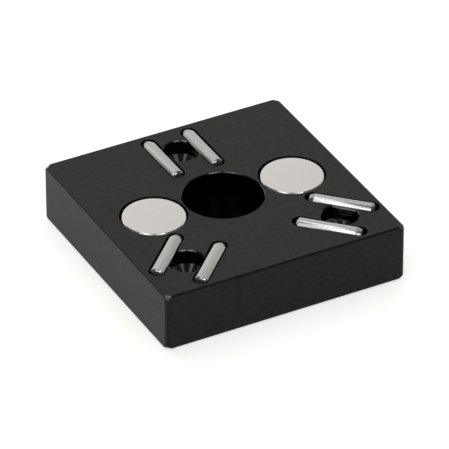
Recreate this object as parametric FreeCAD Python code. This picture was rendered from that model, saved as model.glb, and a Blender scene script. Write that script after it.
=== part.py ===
import FreeCAD, Part
import math
import os

# Kinematic base: a square anodised plate that locates a matching upper plate
# by three balls. Each ball drops between two hard steel pins that lie side by
# side in slots and form a vee. The three vees point at the plate's middle.
# Two disc magnets pull the upper plate down, and one socket head screw through
# the middle fastens the base to what carries it.
# The origin is the middle of the underside, +Z is up, the back groove runs
# along +Y, and all sizes are in millimetres.

# Plate
plate_side = 25.4
plate_thickness = 6.0
upright_edge_radius = 0.4
rim_chamfer = 0.18

# How far in from each sharp vertex, along the diagonal, its corner is knocked
# off at 45 degrees
vertex_knock_off = 0.56

# Screw passage in the middle: a counterbore for the head over a clearance hole
head_bore_diameter = 7.9
head_bore_depth = 4.25
screw_hole_diameter = 4.5
head_bore_edge_break = 0.08
screw_exit_edge_break = 0.2

# Disc magnets, one each side of the screw, glued into blind pockets. The
# plated upper edge is round, and the lower edge, down in the glue, is bevelled.
magnet_diameter = 6.35
magnet_thickness = 3.175
magnet_edge_radius = 0.2
magnet_lower_bevel = 0.15
magnet_recess = 0.02
pocket_side_clearance = 0.11
pocket_glue_depth = 0.05
bore_to_pocket_wall = 0.11

# How far to the front a magnet has settled in its pocket before the glue set
magnet_settled = 0.05

# Dowel pins: ground cylinders with a tapered lead at one end and a bevelled
# edge at the other
pin_diameter = 1.5875
pin_length = 6.35
pin_lead_length = 0.5
pin_lead_drop = 0.15
pin_bevel_length = 0.2
pin_bevel_drop = 0.17
pin_spacing = 4.3
pin_stands_proud = 0.3

# How far outwards a pin sits from the middle of its slot, less than 0 inwards
back_left_pin_shift = 0.0
back_right_pin_shift = 0.06
front_left_pin_shift = -0.08
front_right_pin_shift = 0.0

# Slots that hold the pins
slot_side_clearance = 0.012
slot_end_room = 0.515
slot_glue_depth = 0.02
slot_to_back_edge = 0.71
pocket_to_slot_wall = 0.215

# Directions that the grooves point in, in degrees from +X
back_groove_angle = 90.0
front_left_groove_angle = 225.0
front_right_groove_angle = 315.0

# Blind hole between the pins of each groove, which clears the ball
ball_hole_diameter = 3.57
ball_hole_depth = 1.5
ball_hole_edge_break = 0.12
ball_hole_outward_shift = 0.4
drill_point_angle = 118.0

# Sizes that follow from the ones above
plate_half = plate_side / 2
pin_radius = pin_diameter / 2
slot_radius = pin_radius + slot_side_clearance
slot_length = pin_length + 2 * slot_end_room
slot_half_run = slot_length / 2 - slot_radius
slot_depth = pin_diameter - pin_stands_proud + slot_glue_depth
pin_axis_height = plate_thickness + pin_stands_proud - pin_radius
pocket_radius = magnet_diameter / 2 + pocket_side_clearance
pocket_depth = magnet_recess + magnet_thickness + pocket_glue_depth
head_bore_mouth_radius = head_bore_diameter / 2 + head_bore_edge_break
magnet_offset = head_bore_mouth_radius + bore_to_pocket_wall + pocket_radius

# The slots of the back groove end a set wall short of the back edge.
back_slot_distance = plate_half - slot_to_back_edge - slot_length / 2

# The front grooves lie on the diagonals. The slot beside a magnet starts a set
# wall away from its pocket, which gives how far out both slots are centred.
magnet_along_diagonal = magnet_offset * math.cos(math.radians(45))
magnet_to_slot_line = magnet_along_diagonal - pin_spacing / 2
magnet_to_slot_end = pocket_radius + pocket_to_slot_wall + slot_radius
past_magnet = math.sqrt(magnet_to_slot_end ** 2 - magnet_to_slot_line ** 2)
front_slot_distance = magnet_along_diagonal + past_magnet + slot_half_run

# Each groove: the direction it points in, and how far from the plate's middle
# its slots are centred
GROOVES = {
    "back_groove": (back_groove_angle, back_slot_distance),
    "front_left_groove": (front_left_groove_angle, front_slot_distance),
    "front_right_groove": (front_right_groove_angle, front_slot_distance),
}

# Sides of a groove, to one who looks outwards along it, and the two ways in
# which a pin's tapered lead can point
LEFT = 1
RIGHT = -1
OUTWARDS = 1
INWARDS = -1

# Each pin: its groove, the side it lies on, the way its lead points, and how
# far outwards it sits from the middle of its slot
PINS = {
    "back_groove_pin_left": ("back_groove", LEFT, OUTWARDS, back_left_pin_shift),
    "back_groove_pin_right": ("back_groove", RIGHT, OUTWARDS, back_right_pin_shift),
    "front_left_groove_pin_left": ("front_left_groove", RIGHT, INWARDS, front_left_pin_shift),
    "front_left_groove_pin_right": ("front_left_groove", LEFT, INWARDS, front_left_pin_shift),
    "front_right_groove_pin_left": ("front_right_groove", RIGHT, OUTWARDS, front_right_pin_shift),
    "front_right_groove_pin_right": ("front_right_groove", LEFT, INWARDS, front_right_pin_shift),
}

VEC = FreeCAD.Vector
ORIGIN = VEC(0, 0, 0)
X_AXIS = VEC(1, 0, 0)
Z_AXIS = VEC(0, 0, 1)

# How far cutting tools run past the faces that they open
tool_overrun = 1.0


def profile_face(corners):
    """A flat face in the XZ plane, through corners given as (x, z) pairs.

    A corner given as (x, z, x_mid, z_mid) is reached by an arc through the
    middle point, and any other corner by a straight line.
    """
    edges = []
    last = VEC(corners[0][0], 0, corners[0][1])
    for corner in corners[1:] + corners[:1]:
        point = VEC(corner[0], 0, corner[1])
        if len(corner) == 4:
            middle = VEC(corner[2], 0, corner[3])
            edges.append(Part.Arc(last, middle, point).toShape())
        else:
            edges.append(Part.LineSegment(last, point).toShape())
        last = point
    return Part.Face(Part.Wire(edges))


def turned(corners, axis):
    """The solid that a profile sweeps in one full turn about an axis."""
    return profile_face(corners).revolve(ORIGIN, axis, 360)


def vertex_trimmer():
    """A turned disc whose two 45 degree cones trim only the plate's vertices."""
    rim = plate_half * math.sqrt(2) - vertex_knock_off
    reach = rim + vertex_knock_off
    top = plate_thickness
    return turned([
        (0, 0),
        (rim, 0),
        (reach, vertex_knock_off),
        (reach, top - vertex_knock_off),
        (rim, top),
        (0, top),
    ], Z_AXIS)


def plate_blank():
    """The square plate with rounded uprights, chamfered rims, trimmed vertices."""
    corner = VEC(-plate_half, -plate_half, 0)
    blank = Part.makeBox(plate_side, plate_side, plate_thickness, corner)
    upright = [e for e in blank.Edges if e.BoundBox.ZLength > plate_thickness / 2]
    blank = blank.makeFillet(upright_edge_radius, upright)
    rims = [e for e in blank.Edges if e.BoundBox.ZLength < plate_thickness / 2]
    return blank.makeChamfer(rim_chamfer, rims).common(vertex_trimmer())


def screw_passage_tool():
    """What the screw's head and shank need, as one turned cutter."""
    head = head_bore_diameter / 2
    shank = screw_hole_diameter / 2
    floor = plate_thickness - head_bore_depth
    top = plate_thickness + tool_overrun
    return turned([
        (0, -tool_overrun),
        (shank + screw_exit_edge_break + tool_overrun, -tool_overrun),
        (shank, screw_exit_edge_break),
        (shank, floor),
        (head, floor),
        (head, plate_thickness - head_bore_edge_break),
        (head + head_bore_edge_break + tool_overrun, top),
        (0, top),
    ], Z_AXIS)


def magnet_pocket_tool():
    """One flat-bottomed round pocket, standing on its own floor."""
    height = pocket_depth + tool_overrun
    return Part.makeCylinder(pocket_radius, height)


def ball_hole_tool():
    """One drilled hole with a cone point and a broken edge, mouth at z = 0."""
    radius = ball_hole_diameter / 2
    point_depth = radius / math.tan(math.radians(drill_point_angle / 2))
    return turned([
        (0, -ball_hole_depth - point_depth),
        (radius, -ball_hole_depth),
        (radius, -ball_hole_edge_break),
        (radius + ball_hole_edge_break + tool_overrun, tool_overrun),
        (0, tool_overrun),
    ], Z_AXIS)


def slot_tool():
    """One round-ended slot along X, with its floor at z = 0."""
    run = slot_half_run
    wide = slot_radius
    near_left = VEC(-run, wide, 0)
    near_right = VEC(-run, -wide, 0)
    far_left = VEC(run, wide, 0)
    far_right = VEC(run, -wide, 0)
    near_end = Part.Arc(near_left, VEC(-run - wide, 0, 0), near_right)
    far_end = Part.Arc(far_right, VEC(run + wide, 0, 0), far_left)
    outline = Part.Wire([
        near_end.toShape(),
        Part.LineSegment(near_right, far_right).toShape(),
        far_end.toShape(),
        Part.LineSegment(far_left, near_left).toShape(),
    ])
    height = slot_depth + tool_overrun
    return Part.Face(outline).extrude(VEC(0, 0, height))


def along_groove(shape, name, distance, side=0.0, height=0.0):
    """A copy of a shape, moved out along a groove and turned to face it."""
    angle = GROOVES[name][0]
    placed = shape.copy()
    placed.translate(VEC(distance, side, height))
    placed.rotate(ORIGIN, Z_AXIS, angle)
    return placed


def base_plate():
    """The plate with its screw passage, pockets, ball holes and slots."""
    cutters = [screw_passage_tool()]
    pocket = magnet_pocket_tool()
    for side in (-1, 1):
        placed = pocket.copy()
        placed.translate(VEC(side * magnet_offset, 0, plate_thickness - pocket_depth))
        cutters.append(placed)
    hole = ball_hole_tool()
    slot = slot_tool()
    for name in GROOVES:
        distance = GROOVES[name][1]
        hole_distance = distance + ball_hole_outward_shift
        cutters.append(along_groove(hole, name, hole_distance, 0, plate_thickness))
        for side in (LEFT, RIGHT):
            offset = side * pin_spacing / 2
            floor = plate_thickness - slot_depth
            cutters.append(along_groove(slot, name, distance, offset, floor))
    return plate_blank().cut(cutters)


def magnet(side):
    """A plated disc magnet with rounded edges, on the given side of X."""
    radius = magnet_diameter / 2
    high = magnet_thickness
    edge = magnet_edge_radius
    bulge = edge * (1 - math.sqrt(0.5))
    disc = turned([
        (0, 0),
        (radius - magnet_lower_bevel, 0),
        (radius, magnet_lower_bevel),
        (radius, high - edge),
        (radius - edge, high, radius - bulge, high - bulge),
        (0, high),
    ], Z_AXIS)
    top = plate_thickness - magnet_recess
    disc.translate(VEC(side * magnet_offset, -magnet_settled, top - high))
    return disc


def dowel_pin():
    """A dowel pin along X, centred on the origin, with its lead at +X."""
    half = pin_length / 2
    return turned([
        (-half, 0),
        (-half, pin_radius - pin_bevel_drop),
        (-half + pin_bevel_length, pin_radius),
        (half - pin_lead_length, pin_radius),
        (half, pin_radius - pin_lead_drop),
        (half, 0),
    ], X_AXIS)


def groove_pin(groove, side, lead, slide):
    """One pin laid in its slot."""
    pin = dowel_pin()
    if lead == INWARDS:
        pin.rotate(ORIGIN, Z_AXIS, 180)
    distance = GROOVES[groove][1] + slide
    offset = side * pin_spacing / 2
    return along_groove(pin, groove, distance, offset, pin_axis_height)


def all_parts():
    """Every piece of the base by its name."""
    parts = {
        "base_plate": base_plate(),
        "magnet_left": magnet(-1),
        "magnet_right": magnet(1),
    }
    for name, (groove, side, lead, slide) in PINS.items():
        parts[name] = groove_pin(groove, side, lead, slide)
    return parts


os.makedirs("parts", exist_ok=True)
for name, shape in all_parts().items():
    solid = shape.Solids[0]
    print(name, len(shape.Solids), solid.isValid(), round(solid.Volume, 3))
    solid.exportStep("parts/" + name + ".step")
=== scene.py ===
# %% [markdown]
# # A kinematic base, dressed for its picture
#
# The object is a small black plate, 25.4 mm square and 6 mm thick. Three pairs of steel pins
# lie in it as three vees, all pointing at the middle. A matching plate stands on them with
# three balls, so it can be lifted off and put back to within a micrometre. Two magnets pull
# that plate down, and one screw through the middle holds this one.
#
# The CAD frame already has every part at its place. Here each surface gets the finish of the
# real one, and the bright parts, which show the smallest flaw of a shape, are modelled finer.
# All lengths are in metres, so a length in millimetres is written times MM.

# %% The frame
import math

import bmesh
import bpy
from mathutils import Matrix, Vector


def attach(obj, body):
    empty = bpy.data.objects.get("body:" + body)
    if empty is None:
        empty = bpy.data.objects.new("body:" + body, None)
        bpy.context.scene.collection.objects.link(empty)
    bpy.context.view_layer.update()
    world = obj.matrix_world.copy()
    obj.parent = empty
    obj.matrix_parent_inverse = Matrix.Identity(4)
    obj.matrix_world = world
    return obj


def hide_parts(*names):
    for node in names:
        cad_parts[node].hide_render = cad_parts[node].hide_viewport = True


MM = 0.001

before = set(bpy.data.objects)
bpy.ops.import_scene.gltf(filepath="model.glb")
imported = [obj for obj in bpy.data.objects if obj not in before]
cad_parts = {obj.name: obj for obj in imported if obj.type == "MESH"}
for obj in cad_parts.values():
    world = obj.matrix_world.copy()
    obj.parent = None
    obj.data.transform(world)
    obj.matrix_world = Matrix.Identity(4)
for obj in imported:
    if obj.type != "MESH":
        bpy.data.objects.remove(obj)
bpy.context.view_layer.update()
print("CAD nodes:", ", ".join(sorted(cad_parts)))

# %% [markdown]
# ## The camera
#
# A product picture of something so small is taken from half a metre away with a long lens,
# so its far edges hardly shrink. The camera is given as a photographer would set it up: a
# point to aim at, how far round the object and how far above it the camera stands, and the
# distance. Depth of field stays off, so every part of the object is sharp.

# %% The camera
AIM = Vector((1.928 * MM, 3.378 * MM, 0))
AZIMUTH = math.radians(-27.92)
ELEVATION = math.radians(34.041)
ROLL = math.radians(-0.1094)
DISTANCE = 510.53 * MM
SENSOR_WIDTH = 36.0
FOCAL_LENGTH = 425.7

towards_camera = Vector(
    (
        math.sin(AZIMUTH) * math.cos(ELEVATION),
        -math.cos(AZIMUTH) * math.cos(ELEVATION),
        math.sin(ELEVATION),
    )
)
bpy.ops.object.camera_add(location=AIM + towards_camera * DISTANCE)
camera = bpy.context.object
camera.name = "camera"
level = (-towards_camera).to_track_quat("-Z", "Y")
camera.rotation_mode = "QUATERNION"
camera.rotation_quaternion = level @ Matrix.Rotation(ROLL, 3, "Z").to_quaternion()
camera.data.sensor_width = SENSOR_WIDTH
camera.data.lens = FOCAL_LENGTH
camera.data.clip_start = 10 * MM
camera.data.clip_end = 10.0
bpy.context.scene.camera = camera
print("camera at (mm):", [round(x / MM, 1) for x in camera.location])

# %% [markdown]
# ## Three small helpers
#
# Colours are written as the hex values that a colour picker shows. Blender's sockets want
# linear light, so one function turns them. The second adds a node with its settings and its
# links in one step, and the third starts a material with its one shader. A Mix node has
# inputs that share a name, so they go by number, and the numbers get names here.

# %% Colours, nodes and materials
FLOAT_A, FLOAT_B = 2, 3
COLOUR_A, COLOUR_B, COLOUR_OUT = 6, 7, 2


def linear(hex_colour):
    """An sRGB hex colour as the linear red, green, blue and alpha that a socket takes."""
    parts = [int(hex_colour[i : i + 2], 16) / 255 for i in (1, 3, 5)]
    light = [c / 12.92 if c <= 0.04045 else ((c + 0.055) / 1.055) ** 2.4 for c in parts]
    return (*light, 1.0)


def add(tree, kind, settings, links):
    """Adds a node; settings holds its properties and input values, links its inputs' sources."""
    node = tree.nodes.new(kind)
    for name, value in settings.items():
        if isinstance(name, str) and hasattr(node, name):
            setattr(node, name, value)
        else:
            node.inputs[name].default_value = value
    for name, source in links.items():
        tree.links.new(source, node.inputs[name])
    return node


def start_material(name, shader):
    """A material with one Principled shader; returns the material, its tree and the shader."""
    made = bpy.data.materials.new(name)
    made.use_nodes = True
    tree = made.node_tree
    tree.nodes.clear()
    surface = add(tree, "ShaderNodeBsdfPrincipled", shader, {})
    add(tree, "ShaderNodeOutputMaterial", {}, {"Surface": surface.outputs["BSDF"]})
    return made, tree, surface


print("the hex grey #808080 as linear light:", [round(c, 4) for c in linear("#808080")[:3]])

# %% [markdown]
# ## The floor
#
# The picture has no background, only white. The object stands on a light table, a sheet of
# opal acrylic that is lit from below just enough to fill in the shadows, and the lamps do the
# rest. A black sheet, a little smaller than the plate, lies under it as painted shade: it
# stands in for the shade on the floor under the plate, so that no light comes up through the
# screw hole. The table also shows in the four sides of the plate, which mirror it at a low
# angle.

# %% A light table
TABLE_SIDE = 6.0
TABLE_GLOW = 0.54
SHADE_SHEET_SIDE = 24 * MM

opal, _, _ = start_material(
    "opal_acrylic",
    {
        "Base Color": linear("#d2d3d4"),
        "Roughness": 0.9,
        "Specular IOR Level": 0.2,
        "Emission Color": linear("#fffdf9"),
        "Emission Strength": TABLE_GLOW,
    },
)
# Painted shade: this black sheet stands in for the shade on the floor under the plate.
shade_sheet, _, _ = start_material(
    "painted_shade_sheet",
    {"Base Color": linear("#040404"), "Roughness": 1.0, "Specular IOR Level": 0.0},
)
bpy.ops.object.select_all(action="DESELECT")
bpy.ops.mesh.primitive_plane_add(size=TABLE_SIDE)
table = bpy.context.object
table.name = "light_table"
table.data.materials.append(opal)
table.data.materials.append(shade_sheet)
bpy.ops.object.mode_set(mode="EDIT")
bpy.ops.mesh.inset(thickness=(TABLE_SIDE - SHADE_SHEET_SIDE) / 2)
table.active_material_index = 1
bpy.ops.object.material_slot_assign()
bpy.ops.object.mode_set(mode="OBJECT")
for face in table.data.polygons:
    cover = table.data.materials[face.material_index].name
    print("table face of", cover, "as large as a square of", round(math.sqrt(face.area) / MM), "mm")

# %% [markdown]
# ## Lamps
#
# Black, nickel and steel are mostly what they mirror, so each lamp is placed for what shows
# it. Two strips overhead, one on each side, draw the twin streaks in the drilled holes, and
# the left one is longer and hangs a little askew, to light the tops of the two pins that lie
# across the view. Two boxes in front light up the broken edges of the holes, the rims of the
# magnets and the near ends of the pins. The camera looks out between them, so each of those
# highlights has a small gap in the middle. A tall panel on the left whitens the near sides
# of the two pins that lie across the view.

# %% Five soft lamps
LAMP_DISTANCE = 1.0


def lamp_at(name, way, turn, size, radiance):
    """An area lamp one metre away; radiance is how bright its face looks."""
    data = bpy.data.lights.new(name, "AREA")
    data.shape = "RECTANGLE"
    data.size, data.size_y = size
    data.energy = radiance * math.pi * size[0] * size[1]
    lamp = bpy.data.objects.new(name, data)
    lamp.location = way * LAMP_DISTANCE
    lamp.rotation_euler = turn
    bpy.context.collection.objects.link(lamp)
    print(name, "at (mm):", [round(x / MM) for x in lamp.location])


def soft_box(name, azimuth, elevation, size, radiance):
    """A lamp that faces the object from an azimuth and an elevation, in degrees."""
    a, e = math.radians(azimuth), math.radians(elevation)
    way = Vector((math.cos(a) * math.cos(e), math.sin(a) * math.cos(e), math.sin(e)))
    lamp_at(name, way, (-way).to_track_quat("-Z", "Y").to_euler(), size, radiance)


def overhead_strip(name, right, forward, size, radiance, twist=0):
    """A level lamp; right and forward are as the camera sees them, the twist is in degrees."""
    way = Matrix.Rotation(AZIMUTH, 3, "Z") @ Vector((right, forward, 1))
    lamp_at(name, way, (0, 0, AZIMUTH - math.radians(twist)), size, radiance)


soft_box("side_panel_left", 195, 51, (0.32, 0.97), 1.45)
soft_box("front_box_left", 221, 48, (0.38, 0.34), 3.2)
soft_box("front_box_right", 269, 48, (0.44, 0.34), 4.0)
overhead_strip("overhead_strip_left", -0.255, 0.03, (0.16, 0.72), 1.9, twist=9)
overhead_strip("overhead_strip_right", 0.26, 0.03, (0.15, 0.3), 1.9)

# %% [markdown]
# ## The backdrop and the room
#
# Behind the object hangs a bright white backdrop, which the magnets and the tops of the pins
# mirror. The room round it and the ceiling are dim, so the chamfers of the plate and the
# bottoms of the drilled holes come out dark. Both are one world. A direction is first turned
# so that the backdrop lies ahead. How far it then goes sideways and upwards for each step
# ahead says whether it meets the backdrop, which fades out softly at its edges. It is a
# little brighter on the left, as the two pairs of pins show that lean to different sides.

# %% A bright backdrop in a dark room
BACKDROP_AZIMUTH = math.radians(62)
BACKDROP_SIDES = (1.3, 3.2)
BACKDROP_TOP = (4.5, 5.5)
BACKDROP_GLOW = 1.18
BACKDROP_TILT = 0.28
ROOM_GLOW = 0.2
JUST_AHEAD = 0.001

room = bpy.data.worlds.new("backdrop_in_a_dark_room")
room.use_nodes = True
walls = room.node_tree
shine = walls.nodes["Background"]
shine.inputs["Color"].default_value = linear("#fffdf9")
way = add(walls, "ShaderNodeTexCoord", {}, {})
turned = add(
    walls,
    "ShaderNodeVectorRotate",
    {"rotation_type": "Z_AXIS", "Angle": -BACKDROP_AZIMUTH},
    {"Vector": way.outputs["Generated"]},
)
parts = add(walls, "ShaderNodeSeparateXYZ", {}, {"Vector": turned.outputs[0]})
ahead = add(
    walls, "ShaderNodeMath", {"operation": "MAXIMUM", 1: JUST_AHEAD}, {0: parts.outputs["X"]}
)
sideways = add(walls, "ShaderNodeMath", {"operation": "ABSOLUTE"}, {0: parts.outputs["Y"]})
fades = []
for reach, (fades_from, fades_to) in (
    (sideways.outputs[0], BACKDROP_SIDES),
    (parts.outputs["Z"], BACKDROP_TOP),
):
    spread = add(walls, "ShaderNodeMath", {"operation": "DIVIDE"}, {0: reach, 1: ahead.outputs[0]})
    fade = add(
        walls,
        "ShaderNodeMapRange",
        {"From Min": fades_from, "From Max": fades_to, "To Min": 1.0, "To Max": 0.0},
        {"Value": spread.outputs[0]},
    )
    fades.append(fade.outputs[0])
lit = add(walls, "ShaderNodeMath", {"operation": "MULTIPLY"}, {0: fades[0], 1: fades[1]})
uneven = add(
    walls,
    "ShaderNodeMath",
    {"operation": "MULTIPLY_ADD", 1: BACKDROP_GLOW * BACKDROP_TILT, 2: BACKDROP_GLOW},
    {0: parts.outputs["Y"]},
)
glow = add(
    walls,
    "ShaderNodeMapRange",
    {"To Min": ROOM_GLOW},
    {"Value": lit.outputs[0], "To Max": uneven.outputs[0]},
)
walls.links.new(glow.outputs[0], shine.inputs["Strength"])
bpy.context.scene.world = room
bpy.context.scene.view_settings.view_transform = "Standard"
print("backdrop glow:", BACKDROP_GLOW, "room glow:", ROOM_GLOW)

# %% [markdown]
# ## Black anodised aluminium
#
# The plate is milled, etched matt, anodised and dyed black. What the eye gets is a black
# with a soft, slightly warm sheen. The etch never bites quite evenly, so the black is mottled
# over half a millimetre or so, in its tint and as a faint unevenness, and has a fine grain
# under that. All this is hundredths of a millimetre deep, so it is bumps in the shader, not
# shape. The grain is about 0.05 mm wide, half a pixel, and is drawn at 0.12 mm to show.

# %% Black anodised aluminium
GRAIN_MM = 0.12
CLOUD_MM = 2.5
MOTTLE_MM = 0.6
STAIN_FROM, STAIN_TO = 0.35, 0.65
ROUGHNESS_LOW, ROUGHNESS_HIGH = 0.36, 0.46

anodised, tree, surface = start_material(
    "black_anodised_aluminium",
    {"IOR": 1.5, "Specular IOR Level": 0.155, "Specular Tint": linear("#fffdf4")},
)
place = add(tree, "ShaderNodeTexCoord", {}, {})
in_mm = add(
    tree,
    "ShaderNodeVectorMath",
    {"operation": "SCALE", "Scale": 1 / MM},
    {0: place.outputs["Object"]},
)
clouds = add(
    tree,
    "ShaderNodeTexNoise",
    {"Scale": 1 / CLOUD_MM, "Detail": 3.0},
    {"Vector": in_mm.outputs[0]},
)
mottle = add(
    tree,
    "ShaderNodeTexNoise",
    {"Scale": 1 / MOTTLE_MM, "Detail": 4.0, "Roughness": 0.7},
    {"Vector": in_mm.outputs[0]},
)
grain = add(
    tree,
    "ShaderNodeTexNoise",
    {"Scale": 1 / GRAIN_MM, "Detail": 2.0},
    {"Vector": in_mm.outputs[0]},
)
stain = add(
    tree,
    "ShaderNodeMapRange",
    {"From Min": STAIN_FROM, "From Max": STAIN_TO},
    {"Value": mottle.outputs["Fac"]},
)
tint = add(
    tree,
    "ShaderNodeMix",
    {"data_type": "RGBA", COLOUR_A: linear("#000000"), COLOUR_B: linear("#151310")},
    {"Factor": stain.outputs[0]},
)
gloss = add(
    tree,
    "ShaderNodeMapRange",
    {"To Min": ROUGHNESS_LOW, "To Max": ROUGHNESS_HIGH},
    {"Value": clouds.outputs["Fac"]},
)
print("mottle every", MOTTLE_MM, "mm, clouds every", CLOUD_MM, "mm, grain every", GRAIN_MM, "mm")

# %% [markdown]
# ## Cut surfaces
#
# The bores are finished after the etch, so their walls are smoother and mirror like dark
# metal. Their bottoms and broken edges throw back a lamp as a thin streak, while the upright
# walls are a bit rougher from the side of the tool. Cut surfaces are found by place and
# slope. Whatever lies in from the four sides, below the top face and above the underside is
# inside a hole, and outside the holes only the chamfered rims slant. The slope is read from
# how far the normal points up: not at all on an upright wall, about 0.7 on a chamfer. Each
# mask is 1 where one number lies within reach of a middle, and 0 elsewhere.

# %% Where the tool has cut after the etch
SIDE_MM = 12.6
TOP_MM = 5.99
MARGIN_MM = 0.01
LIP_MM = 0.2
SLANT, SLANT_REACH = 0.62, 0.32
UPRIGHT, UPRIGHT_REACH = 0.0, 0.2

spot = add(tree, "ShaderNodeSeparateXYZ", {}, {"Vector": in_mm.outputs[0]})
slope = add(tree, "ShaderNodeSeparateXYZ", {}, {"Vector": place.outputs["Normal"]})
mask = {}
for name, number, middle, reach in (
    ("slant", slope.outputs["Z"], SLANT, SLANT_REACH),
    ("upright", slope.outputs["Z"], UPRIGHT, UPRIGHT_REACH),
    ("across", spot.outputs["X"], 0.0, SIDE_MM),
    ("deep", spot.outputs["Y"], 0.0, SIDE_MM),
    ("below", spot.outputs["Z"], TOP_MM / 2, TOP_MM / 2 - MARGIN_MM),
    ("lip", spot.outputs["Z"], TOP_MM, LIP_MM),
):
    compared = {"operation": "COMPARE", 1: middle, 2: reach}
    mask[name] = add(tree, "ShaderNodeMath", compared, {0: number}).outputs[0]
    print("mask", name, "is 1 from", round(middle - reach, 2), "to", round(middle + reach, 2))
within = add(
    tree, "ShaderNodeMath", {"operation": "MULTIPLY"}, {0: mask["across"], 1: mask["deep"]}
)
inside = add(
    tree, "ShaderNodeMath", {"operation": "MULTIPLY"}, {0: within.outputs[0], 1: mask["below"]}
)
tree.links.new(inside.outputs[0], surface.inputs["Metallic"])

# %% [markdown]
# ## Gloss and tint of the cuts
#
# The etched faces keep the gloss and the tint that they have so far, and the chamfered rims
# get one gloss of their own. Inside a hole the shader is a dark metal, so its tint says how
# much it mirrors: least on the upright walls, more at the bottom, most on the broken edges.

# %% Gloss and tint of the cuts
RIM_ROUGHNESS = 0.42
BOTTOM_ROUGHNESS = 0.1
WALL_ROUGHNESS = 0.28

rim_gloss = add(
    tree,
    "ShaderNodeMix",
    {"data_type": "FLOAT", FLOAT_B: RIM_ROUGHNESS},
    {"Factor": mask["slant"], FLOAT_A: gloss.outputs[0]},
)
bore_gloss = add(
    tree,
    "ShaderNodeMix",
    {"data_type": "FLOAT", FLOAT_A: BOTTOM_ROUGHNESS, FLOAT_B: WALL_ROUGHNESS},
    {"Factor": mask["upright"]},
)
whole_gloss = add(
    tree,
    "ShaderNodeMix",
    {"data_type": "FLOAT"},
    {"Factor": inside.outputs[0], FLOAT_A: rim_gloss.outputs[0], FLOAT_B: bore_gloss.outputs[0]},
)
tree.links.new(whole_gloss.outputs[0], surface.inputs["Roughness"])

slanting_tint = add(
    tree,
    "ShaderNodeMix",
    {"data_type": "RGBA", COLOUR_A: linear("#363535"), COLOUR_B: linear("#403f3f")},
    {"Factor": mask["lip"]},
)
bore_tint = add(
    tree,
    "ShaderNodeMix",
    {"data_type": "RGBA", COLOUR_B: linear("#2b2a28")},
    {"Factor": mask["upright"], COLOUR_A: slanting_tint.outputs[COLOUR_OUT]},
)
whole_tint = add(
    tree,
    "ShaderNodeMix",
    {"data_type": "RGBA"},
    {
        "Factor": inside.outputs[0],
        COLOUR_A: tint.outputs[COLOUR_OUT],
        COLOUR_B: bore_tint.outputs[COLOUR_OUT],
    },
)
tree.links.new(whole_tint.outputs[COLOUR_OUT], surface.inputs["Base Color"])
print("nodes in the anodised material so far:", len(tree.nodes))

# %% [markdown]
# ## Rings
#
# A turning tool leaves rings round the middle of its bore, here 0.05 mm wide, half a pixel,
# and only a few thousandths of a millimetre deep. They don't show one by one, but they
# spread the highlights on the walls. The pattern needs the distance to the nearest of the
# four middles, and together with the height it gives a noise that is the same all round.

# %% The tool's rings in the bores
RING_MM = 0.05
BORES = {
    "screw head bore": (0.0, 0.0),
    "back ball hole": (0.0, 8.7),
    "front left ball hole": (-8.147, -8.147),
    "front right ball hole": (8.147, -8.147),
}

flat = add(
    tree, "ShaderNodeVectorMath", {"operation": "MULTIPLY", 1: (1, 1, 0)}, {0: in_mm.outputs[0]}
)
nearest = None
for bore, middle in BORES.items():
    off = add(
        tree,
        "ShaderNodeVectorMath",
        {"operation": "DISTANCE", 1: (*middle, 0)},
        {0: flat.outputs[0]},
    ).outputs["Value"]
    if nearest is None:
        nearest = off
    else:
        least = add(tree, "ShaderNodeMath", {"operation": "MINIMUM"}, {0: nearest, 1: off})
        nearest = least.outputs[0]
    print("rings in the bore", bore, "round", middle)
ring_place = add(tree, "ShaderNodeCombineXYZ", {}, {"X": nearest, "Y": spot.outputs["Z"]})
rings = add(
    tree,
    "ShaderNodeTexNoise",
    {"Scale": 1 / RING_MM, "Detail": 1.0},
    {"Vector": ring_place.outputs[0]},
)

# %% [markdown]
# ## Relief
#
# Three bumps lie on top of each other: the rings, which are only inside the holes, the grain
# everywhere, and the mottle of the etch, which is only outside them.

# %% Relief of the aluminium
RING_HEIGHT = 0.003 * MM
GRAIN_HEIGHT = 0.003 * MM
MOTTLE_HEIGHT = 0.025 * MM

ring_bump = add(
    tree,
    "ShaderNodeBump",
    {"Distance": RING_HEIGHT},
    {"Strength": inside.outputs[0], "Height": rings.outputs["Fac"]},
)
grain_bump = add(
    tree,
    "ShaderNodeBump",
    {"Strength": 0.8, "Distance": GRAIN_HEIGHT},
    {"Height": grain.outputs["Fac"], "Normal": ring_bump.outputs["Normal"]},
)
etched = add(
    tree, "ShaderNodeMapRange", {"To Min": 0.5, "To Max": 0.0}, {"Value": inside.outputs[0]}
)
mottle_bump = add(
    tree,
    "ShaderNodeBump",
    {"Distance": MOTTLE_HEIGHT},
    {
        "Strength": etched.outputs[0],
        "Height": mottle.outputs["Fac"],
        "Normal": grain_bump.outputs["Normal"],
    },
)
tree.links.new(mottle_bump.outputs["Normal"], surface.inputs["Normal"])
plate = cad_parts["base_plate"]
plate.material_slots[0].material = anodised
print("the plate now wears", plate.material_slots[0].material.name)

# %% [markdown]
# ## Modelling by hand, in code
#
# By hand, one would click on an end face or a rim. In a script, the same is done by place: a
# rule says which points belong, and every face or edge whose corners all pass is selected.
# Edges that run round an axis are found by their two ends lying equally far along it. Both
# patterns start as a cylinder and end with their normals outwards and soft angles smooth.

# %% Starting, picking and closing up
X, Z = 0, 2
HAIR = 0.001 * MM
SMOOTH_BELOW = math.radians(20)


def start_cylinder(name, sides, radius, length, middle=0, turn=0):
    """A cylinder, alone selected and in edit mode; it stands along Z unless turned about Y."""
    bpy.ops.object.select_all(action="DESELECT")
    bpy.ops.mesh.primitive_cylinder_add(
        vertices=sides, radius=radius, depth=length, location=(middle, 0, 0), rotation=(0, turn, 0)
    )
    bpy.ops.object.transform_apply(location=True, rotation=True)
    bpy.context.object.name = name
    bpy.ops.object.mode_set(mode="EDIT")
    return bpy.context.object


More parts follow.
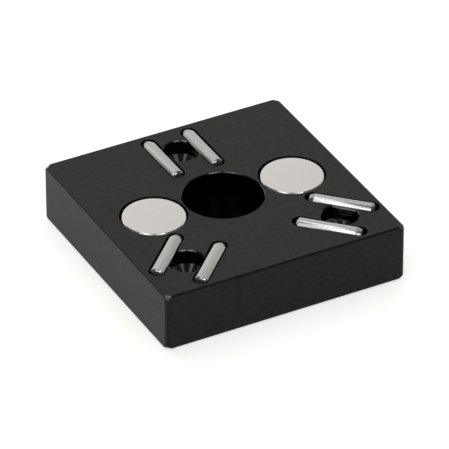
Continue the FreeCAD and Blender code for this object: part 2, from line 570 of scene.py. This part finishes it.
def pick(thing, kind, rule):
    """Selects the faces or edges whose corners all pass the rule; returns how many."""
    bpy.ops.mesh.select_mode(type=kind.upper())
    bpy.ops.mesh.select_all(action="DESELECT")
    mesh = bmesh.from_edit_mesh(thing.data)
    chosen = [p for p in getattr(mesh, kind + "s") if all(rule(v.co) for v in p.verts)]
    for part in chosen:
        part.select_set(True)
    bmesh.update_edit_mesh(thing.data)
    return len(chosen)


def pick_round(thing, axis, from_where=-math.inf):
    """Selects the edges that run round an axis and lie past a place on it; returns how many."""
    bpy.ops.mesh.select_mode(type="EDGE")
    bpy.ops.mesh.select_all(action="DESELECT")
    mesh = bmesh.from_edit_mesh(thing.data)
    chosen = []
    for edge in mesh.edges:
        start, end = (v.co[axis] for v in edge.verts)
        if abs(start - end) < HAIR and start > from_where:
            edge.select_set(True)
            chosen.append(edge)
    bmesh.update_edit_mesh(thing.data)
    return len(chosen)


def close_up(thing):
    """Turns the normals outwards, leaves edit mode and shades soft angles smooth."""
    bpy.ops.mesh.select_all(action="SELECT")
    bpy.ops.mesh.normals_make_consistent(inside=False)
    bpy.ops.object.mode_set(mode="OBJECT")
    bpy.ops.object.shade_smooth_by_angle(angle=SMOOTH_BELOW)
    print(thing.name, "has", len(thing.data.polygons), "faces")


# %% [markdown]
# ## One dowel pin
#
# The pins are standard ones: 1/16 inch thick and 1/4 inch long, hardened and ground. One end
# has a bevelled edge, the other a long shallow lead that finds the hole. The rod is modelled
# between the two, and each end is drawn out of its end face. Tumbling has taken the
# sharpness off every edge, so each gets a hair of a bevel, which catches the light. The
# length is measured on a CAD pin, and further down each place is, so that neither can drift.

# %% One dowel pin
PIN_RADIUS = 1.5875 / 2 * MM
LEAD_LENGTH = 0.5 * MM
LEAD_DROP = 0.15 * MM
BEVEL_LENGTH = 0.2 * MM
BEVEL_DROP = 0.17 * MM
PIN_SIDES = 96
END_BREAK = 0.025 * MM


def span(node, way):
    """How far a CAD node reaches along a direction, lowest and highest."""
    places = [v.co.dot(way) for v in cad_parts[node].data.vertices]
    return min(places), max(places)


def draw_out(length, drop):
    """Draws the selected end face out along X and narrows it by the drop."""
    bpy.ops.mesh.extrude_region_move(TRANSFORM_OT_translate={"value": (length, 0, 0)})
    scale = 1 - drop / PIN_RADIUS
    bpy.ops.transform.resize(value=(1, scale, scale), center_override=(0, 0, 0))


lowest, highest = span("back_groove_pin_left", Vector((0, 1, 0)))
pin_half = (highest - lowest) / 2
rod_start = -pin_half + LEAD_LENGTH
rod_end = pin_half - BEVEL_LENGTH
rod_middle = (rod_start + rod_end) / 2

pin = start_cylinder(
    "pin_pattern", PIN_SIDES, PIN_RADIUS, rod_end - rod_start, rod_middle, math.pi / 2
)
pick(pin, "face", lambda p: p.x > rod_end - HAIR)
draw_out(BEVEL_LENGTH, BEVEL_DROP)
pick(pin, "face", lambda p: p.x < rod_start + HAIR)
draw_out(-LEAD_LENGTH, LEAD_DROP)
print("edges to break:", pick_round(pin, X))
bpy.ops.mesh.bevel(offset=END_BREAK, segments=3, profile=0.5)
close_up(pin)
print("pin length in mm:", round(2 * pin_half / MM, 3))

# %% [markdown]
# ## Ground and hardened steel
#
# A ground pin isn't a mirror. The wheel leaves fine lines along it, which break up each
# reflection across the pin and leave it sharp along the pin, with a fine grit between them.
# The gloss goes up and down from one stretch to the next. The pattern keeps its own place as
# an attribute, so that the lines run along every pin, whichever way it lies. Real lines are
# a few thousandths of a millimetre apart, and the grit is as fine. Both are drawn at about
# 0.16 mm, less than two pixels, the finest that the picture can show.

# %% Ground and hardened steel
LINE_MM = 0.16
LINE_STRETCH = 1 / 30
LINE_HEIGHT = 0.004 * MM
GRIT_MM = 0.17
GRIT_SHARE = 0.45
STRETCHES_PER_MM = 1.4

own_place = pin.data.attributes.new("pin_place", "FLOAT_VECTOR", "POINT")
own_place.data.foreach_set("vector", [x / MM for v in pin.data.vertices for x in v.co])

steel, tree, surface = start_material("ground_hardened_steel", {"Metallic": 1.0})
pin_place = add(tree, "ShaderNodeAttribute", {"attribute_name": "pin_place"}, {})
drawn_out = add(
    tree,
    "ShaderNodeVectorMath",
    {"operation": "MULTIPLY", 1: (LINE_STRETCH, 1, 1)},
    {0: pin_place.outputs["Vector"]},
)
lines = add(
    tree,
    "ShaderNodeTexNoise",
    {"Scale": 1 / LINE_MM, "Detail": 3.0},
    {"Vector": drawn_out.outputs[0]},
)
stretches = add(
    tree,
    "ShaderNodeTexNoise",
    {"Scale": STRETCHES_PER_MM, "Detail": 2.0},
    {"Vector": pin_place.outputs["Vector"]},
)
grit = add(
    tree,
    "ShaderNodeTexNoise",
    {"Scale": 1 / GRIT_MM, "Detail": 2.0},
    {"Vector": pin_place.outputs["Vector"]},
)
wear = add(
    tree,
    "ShaderNodeMix",
    {"data_type": "FLOAT", "Factor": GRIT_SHARE},
    {FLOAT_A: lines.outputs["Fac"], FLOAT_B: grit.outputs["Fac"]},
)
tone = add(
    tree,
    "ShaderNodeMix",
    {"data_type": "RGBA", COLOUR_A: linear("#686868"), COLOUR_B: linear("#c7c7c6")},
    {"Factor": wear.outputs[0]},
)
dull = add(
    tree,
    "ShaderNodeMapRange",
    {"From Min": 0.3, "From Max": 0.7, "To Min": 0.1, "To Max": 0.17},
    {"Value": stretches.outputs["Fac"]},
)
line_bump = add(
    tree,
    "ShaderNodeBump",
    {"Strength": 0.5, "Distance": LINE_HEIGHT},
    {"Height": lines.outputs["Fac"]},
)
tree.links.new(line_bump.outputs["Normal"], surface.inputs["Normal"])
pin.data.materials.append(steel)
print("lines every", LINE_MM, "mm, each about", round(LINE_MM / LINE_STRETCH, 1), "mm long")

# %% [markdown]
# ## Turned ends
#
# The ends are turned and tumbled, not ground, so they are darker and duller than the rod,
# and the flat end faces are dullest. How far a point lies along the pin tells the three
# apart. The tone of the ends comes from the grit alone.

# %% The ends of the pins
END_ROUGHNESS = 0.22
FACE_ROUGHNESS = 0.55

along_pin = add(tree, "ShaderNodeSeparateXYZ", {}, {"Vector": pin_place.outputs["Vector"]})
half_rod = (rod_end - rod_start) / 2 + END_BREAK
in_rod = add(
    tree,
    "ShaderNodeMath",
    {"operation": "COMPARE", 1: rod_middle / MM, 2: half_rod / MM},
    {0: along_pin.outputs["X"]},
)
off_face = add(
    tree,
    "ShaderNodeMath",
    {"operation": "COMPARE", 1: 0.0, 2: (pin_half - HAIR) / MM},
    {0: along_pin.outputs["X"]},
)
end_tone = add(
    tree,
    "ShaderNodeMix",
    {"data_type": "RGBA", COLOUR_A: linear("#696866"), COLOUR_B: linear("#a7a6a4")},
    {"Factor": grit.outputs["Fac"]},
)
whole_tone = add(
    tree,
    "ShaderNodeMix",
    {"data_type": "RGBA"},
    {
        "Factor": in_rod.outputs[0],
        COLOUR_A: end_tone.outputs[COLOUR_OUT],
        COLOUR_B: tone.outputs[COLOUR_OUT],
    },
)
tree.links.new(whole_tone.outputs[COLOUR_OUT], surface.inputs["Base Color"])
end_dull = add(
    tree,
    "ShaderNodeMix",
    {"data_type": "FLOAT", FLOAT_A: FACE_ROUGHNESS, FLOAT_B: END_ROUGHNESS},
    {"Factor": off_face.outputs[0]},
)
whole_dull = add(
    tree,
    "ShaderNodeMix",
    {"data_type": "FLOAT"},
    {"Factor": in_rod.outputs[0], FLOAT_A: end_dull.outputs[0], FLOAT_B: dull.outputs[0]},
)
tree.links.new(whole_dull.outputs[0], surface.inputs["Roughness"])
print("the ground rod in mm:", round(rod_start / MM, 3), "to", round(rod_end / MM, 3))

# %% [markdown]
# ## Six pins in their slots
#
# Each pin is a copy of the pattern with a mesh of its own, turned so that its lead points the
# way it does on the real one, in degrees from +X, and rolled so that no two show the same
# lines. It is put where its CAD node is, and the node is dropped, so it takes over its place
# exactly.

# %% Six pins in their slots
LEAD_WAY = {
    "back_groove_pin_left": 90,
    "back_groove_pin_right": 90,
    "front_left_groove_pin_left": 45,
    "front_left_groove_pin_right": 45,
    "front_right_groove_pin_left": 315,
    "front_right_groove_pin_right": 135,
}
ROLL_STEP = 73


def put_copy(pattern, node, ending, placing):
    """Puts a copy of the pattern in the place of a CAD node, which it takes over."""
    piece = pattern.copy()
    piece.data = pattern.data.copy()
    piece.name = node + ending
    bpy.context.collection.objects.link(piece)
    piece.matrix_world = placing
    bpy.ops.object.select_all(action="DESELECT")
    piece.select_set(True)
    bpy.context.view_layer.objects.active = piece
    bpy.ops.object.transform_apply(location=True, rotation=True, scale=True)
    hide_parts(node)
    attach(piece, "root")
    print(piece.name, "middle in mm:", [round(x / MM, 3) for x in placing.translation])


for turn, (node, lead_way) in enumerate(LEAD_WAY.items()):
    angle = math.radians(lead_way)
    along = Vector((math.cos(angle), math.sin(angle), 0))
    across = Vector((-math.sin(angle), math.cos(angle), 0))
    middle = along * sum(span(node, along)) / 2 + across * sum(span(node, across)) / 2
    middle.z = span(node, Vector((0, 0, 1)))[1] - PIN_RADIUS
    # The lead of the pattern points along -X, so it is turned round by another half turn.
    heading = Matrix.Rotation(angle + math.pi, 4, "Z")
    roll = Matrix.Rotation(math.radians(ROLL_STEP * turn), 4, "X")
    placing = Matrix.Translation(middle) @ heading @ roll
    put_copy(pin, node, "_ground", placing)
bpy.data.objects.remove(pin)

# %% [markdown]
# ## One magnet
#
# A magnet of this kind is pressed from powder, sintered, tumbled until its edges are broken,
# and plated with nickel. The broken edge is the part that shows, since it turns the two
# lamps in front into two white slivers. So it is modelled as a narrow slope whose own two
# edges are rounded again. It lies within 0.04 mm of the round of the CAD.

# %% One magnet
MAGNET_RADIUS = 3.175 * MM
MAGNET_THICKNESS = 3.175 * MM
MAGNET_RIM = 0.17 * MM
MAGNET_RIM_BREAK = 0.02 * MM
MAGNET_LOWER_RIM = 0.15 * MM
MAGNET_SIDES = 128

magnet = start_cylinder("magnet_pattern", MAGNET_SIDES, MAGNET_RADIUS, MAGNET_THICKNESS)
pick(magnet, "edge", lambda p: p.z > MAGNET_THICKNESS / 2 - HAIR)
bpy.ops.mesh.bevel(offset=MAGNET_RIM, segments=1)
print("edges of the slope to round:", pick_round(magnet, Z, from_where=0))
bpy.ops.mesh.bevel(offset=MAGNET_RIM_BREAK, segments=4, profile=0.5)
pick(magnet, "edge", lambda p: p.z < -MAGNET_THICKNESS / 2 + HAIR)
bpy.ops.mesh.bevel(offset=MAGNET_LOWER_RIM, segments=3, profile=0.5)
close_up(magnet)

# %% [markdown]
# ## Nickel plate
#
# Nickel is a little yellower than chrome. Over pressed powder it isn't quite even: it has
# faint clouds of tone and gloss, a millimetre or so wide, and a fine pebble under them. The
# real pebble is a few hundredths of a millimetre wide, and is drawn at 0.1 mm, one pixel.

# %% Nickel plate
CLOUDS_PER_MM = 1.1
PEBBLE_MM = 0.1
PEBBLE_HEIGHT = 0.002 * MM

nickel, tree, surface = start_material("nickel_plate_over_pressed_powder", {"Metallic": 1.0})
place = add(tree, "ShaderNodeTexCoord", {}, {})
in_mm = add(
    tree,
    "ShaderNodeVectorMath",
    {"operation": "SCALE", "Scale": 1 / MM},
    {0: place.outputs["Object"]},
)
clouds = add(
    tree,
    "ShaderNodeTexNoise",
    {"Scale": CLOUDS_PER_MM, "Detail": 3.0},
    {"Vector": in_mm.outputs[0]},
)
pebble = add(
    tree,
    "ShaderNodeTexNoise",
    {"Scale": 1 / PEBBLE_MM, "Detail": 2.0},
    {"Vector": in_mm.outputs[0]},
)
tone = add(
    tree,
    "ShaderNodeMix",
    {"data_type": "RGBA", COLOUR_A: linear("#bbb9b7"), COLOUR_B: linear("#bebdbc")},
    {"Factor": clouds.outputs["Fac"]},
)
dull = add(
    tree, "ShaderNodeMapRange", {"To Min": 0.14, "To Max": 0.17}, {"Value": clouds.outputs["Fac"]}
)
pebble_bump = add(
    tree,
    "ShaderNodeBump",
    {"Strength": 0.15, "Distance": PEBBLE_HEIGHT},
    {"Height": pebble.outputs["Fac"]},
)
tree.links.new(tone.outputs[COLOUR_OUT], surface.inputs["Base Color"])
tree.links.new(dull.outputs[0], surface.inputs["Roughness"])
tree.links.new(pebble_bump.outputs["Normal"], surface.inputs["Normal"])
magnet.data.materials.append(nickel)
print("the magnet wears", nickel.name)

# %% [markdown]
# ## Two magnets in their pockets
#
# Both are copies of the one disc, each put where its CAD node is. Their nickel is patterned
# by place in the part, so the two don't look the same.

# %% Two magnets in their pockets
for node in ("magnet_left", "magnet_right"):
    ways = (Vector(way) for way in ((1, 0, 0), (0, 1, 0), (0, 0, 1)))
    middle = Vector([sum(span(node, way)) / 2 for way in ways])
    put_copy(magnet, node, "_plated", Matrix.Translation(middle))
bpy.data.objects.remove(magnet)
